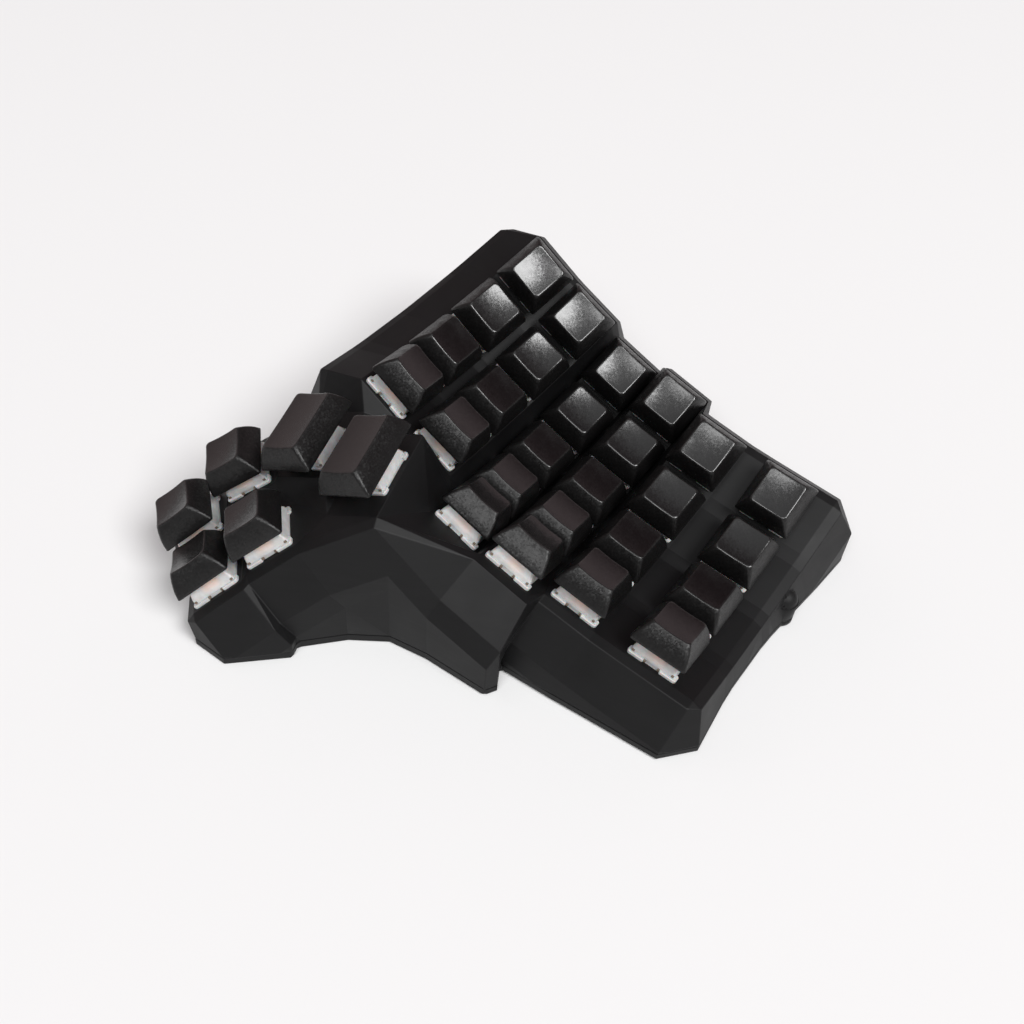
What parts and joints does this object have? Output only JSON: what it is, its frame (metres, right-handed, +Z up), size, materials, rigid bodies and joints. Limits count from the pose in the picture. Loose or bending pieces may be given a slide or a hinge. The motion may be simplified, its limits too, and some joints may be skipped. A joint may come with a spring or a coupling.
{
  "type": "split ergonomic keyboard half",
  "caption": "Right-hand half of a sculpted split keyboard: a faceted case with a curved key bowl, a thumb fan, sprung keys and a flat bottom plate.",
  "frame": {"origin": "on the underside of the bottom plate, below the key bowl", "axes": "+X from the thumb fan to the little finger, +Y to the rear edge with the sockets, +Z up"},
  "size_m": [0.1684, 0.1736, 0.0676],
  "materials": {
    "case_plastic": "printed, faint layer lines",
    "keycap_plastic": "fine grain",
    "milky_plastic": "milky, slightly clear",
    "steel": "bright",
    "brass": "bright",
    "contact_metal": "bright",
    "diode_glass": "glossy",
    "wire_red": "smooth",
    "wire_blue": "smooth",
    "board": "lacquered",
    "chip": "moulded",
    "jack_plastic": "moulded"
  },
  "bodies": {
    "case": {"case_shell": "case_plastic", "bottom_plate": "case_plastic", "base_screws": "steel", "threaded_inserts": "brass", "switch_bases": "milky_plastic", "switch_tops": "milky_plastic", "switch_springs": "steel", "switch_contacts": "contact_metal", "diodes": "diode_glass", "row_wires": "wire_red", "column_wires": "wire_blue", "controller_holder": "case_plastic", "controller_board": "board", "controller_chip": "chip", "usb_socket": "steel", "link_jack": "jack_plastic", "jack_nut": "steel"},
    "key_c0_r0": {"key_c0_r0": "keycap_plastic"},
    "key_c0_r1": {"key_c0_r1": "keycap_plastic"},
    "key_c0_r2": {"key_c0_r2": "keycap_plastic"},
    "key_c0_r3": {"key_c0_r3": "keycap_plastic"},
    "key_c1_r0": {"key_c1_r0": "keycap_plastic"},
    "key_c1_r1": {"key_c1_r1": "keycap_plastic"},
    "key_c1_r2": {"key_c1_r2": "keycap_plastic"},
    "key_c1_r3": {"key_c1_r3": "keycap_plastic"},
    "key_c2_r0": {"key_c2_r0": "keycap_plastic"},
    "key_c2_r1": {"key_c2_r1": "keycap_plastic"},
    "key_c2_r2": {"key_c2_r2": "keycap_plastic"},
    "key_c2_r3": {"key_c2_r3": "keycap_plastic"},
    "key_c2_r4": {"key_c2_r4": "keycap_plastic"},
    "key_c3_r0": {"key_c3_r0": "keycap_plastic"},
    "key_c3_r1": {"key_c3_r1": "keycap_plastic"},
    "key_c3_r2": {"key_c3_r2": "keycap_plastic"},
    "key_c3_r3": {"key_c3_r3": "keycap_plastic"},
    "key_c3_r4": {"key_c3_r4": "keycap_plastic"},
    "key_c4_r0": {"key_c4_r0": "keycap_plastic"},
    "key_c4_r1": {"key_c4_r1": "keycap_plastic"},
    "key_c4_r2": {"key_c4_r2": "keycap_plastic"},
    "key_c4_r3": {"key_c4_r3": "keycap_plastic"},
    "key_c5_r0": {"key_c5_r0": "keycap_plastic"},
    "key_c5_r1": {"key_c5_r1": "keycap_plastic"},
    "key_c5_r2": {"key_c5_r2": "keycap_plastic"},
    "key_c5_r3": {"key_c5_r3": "keycap_plastic"},
    "key_thumb_inner_long": {"key_thumb_inner_long": "keycap_plastic"},
    "key_thumb_outer_long": {"key_thumb_outer_long": "keycap_plastic"},
    "key_thumb_upper_inner": {"key_thumb_upper_inner": "keycap_plastic"},
    "key_thumb_upper_outer": {"key_thumb_upper_outer": "keycap_plastic"},
    "key_thumb_lower_inner": {"key_thumb_lower_inner": "keycap_plastic"},
    "key_thumb_lower_outer": {"key_thumb_lower_outer": "keycap_plastic"}
  },
  "joints": [
    {"name": "key_c0_r0_press", "type": "slide", "parent": "case", "child": "key_c0_r0", "axis": [-0.4674, 0.5113, -0.7212], "range_m": [0, 0.0037], "stiffness_N_per_m": 120, "springref_m": -0.003, "deforming": ["switch_springs"]},
    {"name": "key_c0_r1_press", "type": "slide", "parent": "case", "child": "key_c0_r1", "axis": [-0.5235, 0.2714, -0.8076], "range_m": [0, 0.0037], "stiffness_N_per_m": 120, "springref_m": -0.003, "deforming": ["switch_springs"]},
    {"name": "key_c0_r2_press", "type": "slide", "parent": "case", "child": "key_c0_r2", "axis": [-0.5439, 0.0131, -0.8391], "range_m": [0, 0.0037], "stiffness_N_per_m": 120, "springref_m": -0.003, "deforming": ["switch_springs"]},
    {"name": "key_c0_r3_press", "type": "slide", "parent": "case", "child": "key_c0_r3", "axis": [-0.5272, -0.2462, -0.8133], "range_m": [0, 0.0037], "stiffness_N_per_m": 120, "springref_m": -0.003, "deforming": ["switch_springs"]},
    {"name": "key_c1_r0_press", "type": "slide", "parent": "case", "child": "key_c1_r0", "axis": [-0.4028, 0.5113, -0.7592], "range_m": [0, 0.0037], "stiffness_N_per_m": 120, "springref_m": -0.003, "deforming": ["switch_springs"]},
    {"name": "key_c1_r1_press", "type": "slide", "parent": "case", "child": "key_c1_r1", "axis": [-0.4511, 0.2714, -0.8502], "range_m": [0, 0.0037], "stiffness_N_per_m": 120, "springref_m": -0.003, "deforming": ["switch_springs"]},
    {"name": "key_c1_r2_press", "type": "slide", "parent": "case", "child": "key_c1_r2", "axis": [-0.4687, 0.0131, -0.8833], "range_m": [0, 0.0037], "stiffness_N_per_m": 120, "springref_m": -0.003, "deforming": ["switch_springs"]},
    {"name": "key_c1_r3_press", "type": "slide", "parent": "case", "child": "key_c1_r3", "axis": [-0.4543, -0.2462, -0.8562], "range_m": [0, 0.0037], "stiffness_N_per_m": 120, "springref_m": -0.003, "deforming": ["switch_springs"]},
    {"name": "key_c2_r0_press", "type": "slide", "parent": "case", "child": "key_c2_r0", "axis": [-0.3351, 0.5113, -0.7914], "range_m": [0, 0.0037], "stiffness_N_per_m": 120, "springref_m": -0.003, "deforming": ["switch_springs"]},
    {"name": "key_c2_r1_press", "type": "slide", "parent": "case", "child": "key_c2_r1", "axis": [-0.3753, 0.2714, -0.8863], "range_m": [0, 0.0037], "stiffness_N_per_m": 120, "springref_m": -0.003, "deforming": ["switch_springs"]},
    {"name": "key_c2_r2_press", "type": "slide", "parent": "case", "child": "key_c2_r2", "axis": [-0.3899, 0.0131, -0.9208], "range_m": [0, 0.0037], "stiffness_N_per_m": 120, "springref_m": -0.003, "deforming": ["switch_springs"]},
    {"name": "key_c2_r3_press", "type": "slide", "parent": "case", "child": "key_c2_r3", "axis": [-0.3779, -0.2462, -0.8925], "range_m": [0, 0.0037], "stiffness_N_per_m": 120, "springref_m": -0.003, "deforming": ["switch_springs"]},
    {"name": "key_c2_r4_press", "type": "slide", "parent": "case", "child": "key_c2_r4", "axis": [-0.3402, -0.4886, -0.8034], "range_m": [0, 0.0037], "stiffness_N_per_m": 120, "springref_m": -0.003, "deforming": ["switch_springs"]},
    {"name": "key_c3_r0_press", "type": "slide", "parent": "case", "child": "key_c3_r0", "axis": [-0.2649, 0.5113, -0.8176], "range_m": [0, 0.0037], "stiffness_N_per_m": 120, "springref_m": -0.003, "deforming": ["switch_springs"]},
    {"name": "key_c3_r1_press", "type": "slide", "parent": "case", "child": "key_c3_r1", "axis": [-0.2966, 0.2714, -0.9156], "range_m": [0, 0.0037], "stiffness_N_per_m": 120, "springref_m": -0.003, "deforming": ["switch_springs"]},
    {"name": "key_c3_r2_press", "type": "slide", "parent": "case", "child": "key_c3_r2", "axis": [-0.3082, 0.0131, -0.9512], "range_m": [0, 0.0037], "stiffness_N_per_m": 120, "springref_m": -0.003, "deforming": ["switch_springs"]},
    {"name": "key_c3_r3_press", "type": "slide", "parent": "case", "child": "key_c3_r3", "axis": [-0.2987, -0.2462, -0.9221], "range_m": [0, 0.0037], "stiffness_N_per_m": 120, "springref_m": -0.003, "deforming": ["switch_springs"]},
    {"name": "key_c3_r4_press", "type": "slide", "parent": "case", "child": "key_c3_r4", "axis": [-0.2689, -0.4886, -0.83], "range_m": [0, 0.0037], "stiffness_N_per_m": 120, "springref_m": -0.003, "deforming": ["switch_springs"]},
    {"name": "key_c4_r0_press", "type": "slide", "parent": "case", "child": "key_c4_r0", "axis": [-0.1926, 0.5113, -0.8375], "range_m": [0, 0.0037], "stiffness_N_per_m": 120, "springref_m": -0.003, "deforming": ["switch_springs"]},
    {"name": "key_c4_r1_press", "type": "slide", "parent": "case", "child": "key_c4_r1", "axis": [-0.2157, 0.2714, -0.938], "range_m": [0, 0.0037], "stiffness_N_per_m": 120, "springref_m": -0.003, "deforming": ["switch_springs"]},
    {"name": "key_c4_r2_press", "type": "slide", "parent": "case", "child": "key_c4_r2", "axis": [-0.2241, 0.0131, -0.9745], "range_m": [0, 0.0037], "stiffness_N_per_m": 120, "springref_m": -0.003, "deforming": ["switch_springs"]},
    {"name": "key_c4_r3_press", "type": "slide", "parent": "case", "child": "key_c4_r3", "axis": [-0.2172, -0.2462, -0.9446], "range_m": [0, 0.0037], "stiffness_N_per_m": 120, "springref_m": -0.003, "deforming": ["switch_springs"]},
    {"name": "key_c5_r0_press", "type": "slide", "parent": "case", "child": "key_c5_r0", "axis": [-0.1189, 0.5113, -0.8511], "range_m": [0, 0.0037], "stiffness_N_per_m": 120, "springref_m": -0.003, "deforming": ["switch_springs"]},
    {"name": "key_c5_r1_press", "type": "slide", "parent": "case", "child": "key_c5_r1", "axis": [-0.1331, 0.2714, -0.9532], "range_m": [0, 0.0037], "stiffness_N_per_m": 120, "springref_m": -0.003, "deforming": ["switch_springs"]},
    {"name": "key_c5_r2_press", "type": "slide", "parent": "case", "child": "key_c5_r2", "axis": [-0.1383, 0.0131, -0.9903], "range_m": [0, 0.0037], "stiffness_N_per_m": 120, "springref_m": -0.003, "deforming": ["switch_springs"]},
    {"name": "key_c5_r3_press", "type": "slide", "parent": "case", "child": "key_c5_r3", "axis": [-0.1341, -0.2462, -0.9599], "range_m": [0, 0.0037], "stiffness_N_per_m": 120, "springref_m": -0.003, "deforming": ["switch_springs"]},
    {"name": "key_thumb_inner_long_press", "type": "slide", "parent": "case", "child": "key_thumb_inner_long", "axis": [0.3488, 0.2378, -0.9065], "range_m": [0, 0.0037], "stiffness_N_per_m": 120, "springref_m": -0.003, "deforming": ["switch_springs"]},
    {"name": "key_thumb_outer_long_press", "type": "slide", "parent": "case", "child": "key_thumb_outer_long", "axis": [0.3488, 0.2378, -0.9065], "range_m": [0, 0.0037], "stiffness_N_per_m": 120, "springref_m": -0.003, "deforming": ["switch_springs"]},
    {"name": "key_thumb_upper_inner_press", "type": "slide", "parent": "case", "child": "key_thumb_upper_inner", "axis": [0.3588, 0.4375, -0.8245], "range_m": [0, 0.0037], "stiffness_N_per_m": 120, "springref_m": -0.003, "deforming": ["switch_springs"]},
    {"name": "key_thumb_upper_outer_press", "type": "slide", "parent": "case", "child": "key_thumb_upper_outer", "axis": [0.4498, 0.3433, -0.8245], "range_m": [0, 0.0037], "stiffness_N_per_m": 120, "springref_m": -0.003, "deforming": ["switch_springs"]},
    {"name": "key_thumb_lower_inner_press", "type": "slide", "parent": "case", "child": "key_thumb_lower_inner", "axis": [0.4072, 0.4079, -0.8172], "range_m": [0, 0.0037], "stiffness_N_per_m": 120, "springref_m": -0.003, "deforming": ["switch_springs"]},
    {"name": "key_thumb_lower_outer_press", "type": "slide", "parent": "case", "child": "key_thumb_lower_outer", "axis": [0.5307, 0.2615, -0.8062], "range_m": [0, 0.0037], "stiffness_N_per_m": 120, "springref_m": -0.003, "deforming": ["switch_springs"]}
  ]
}
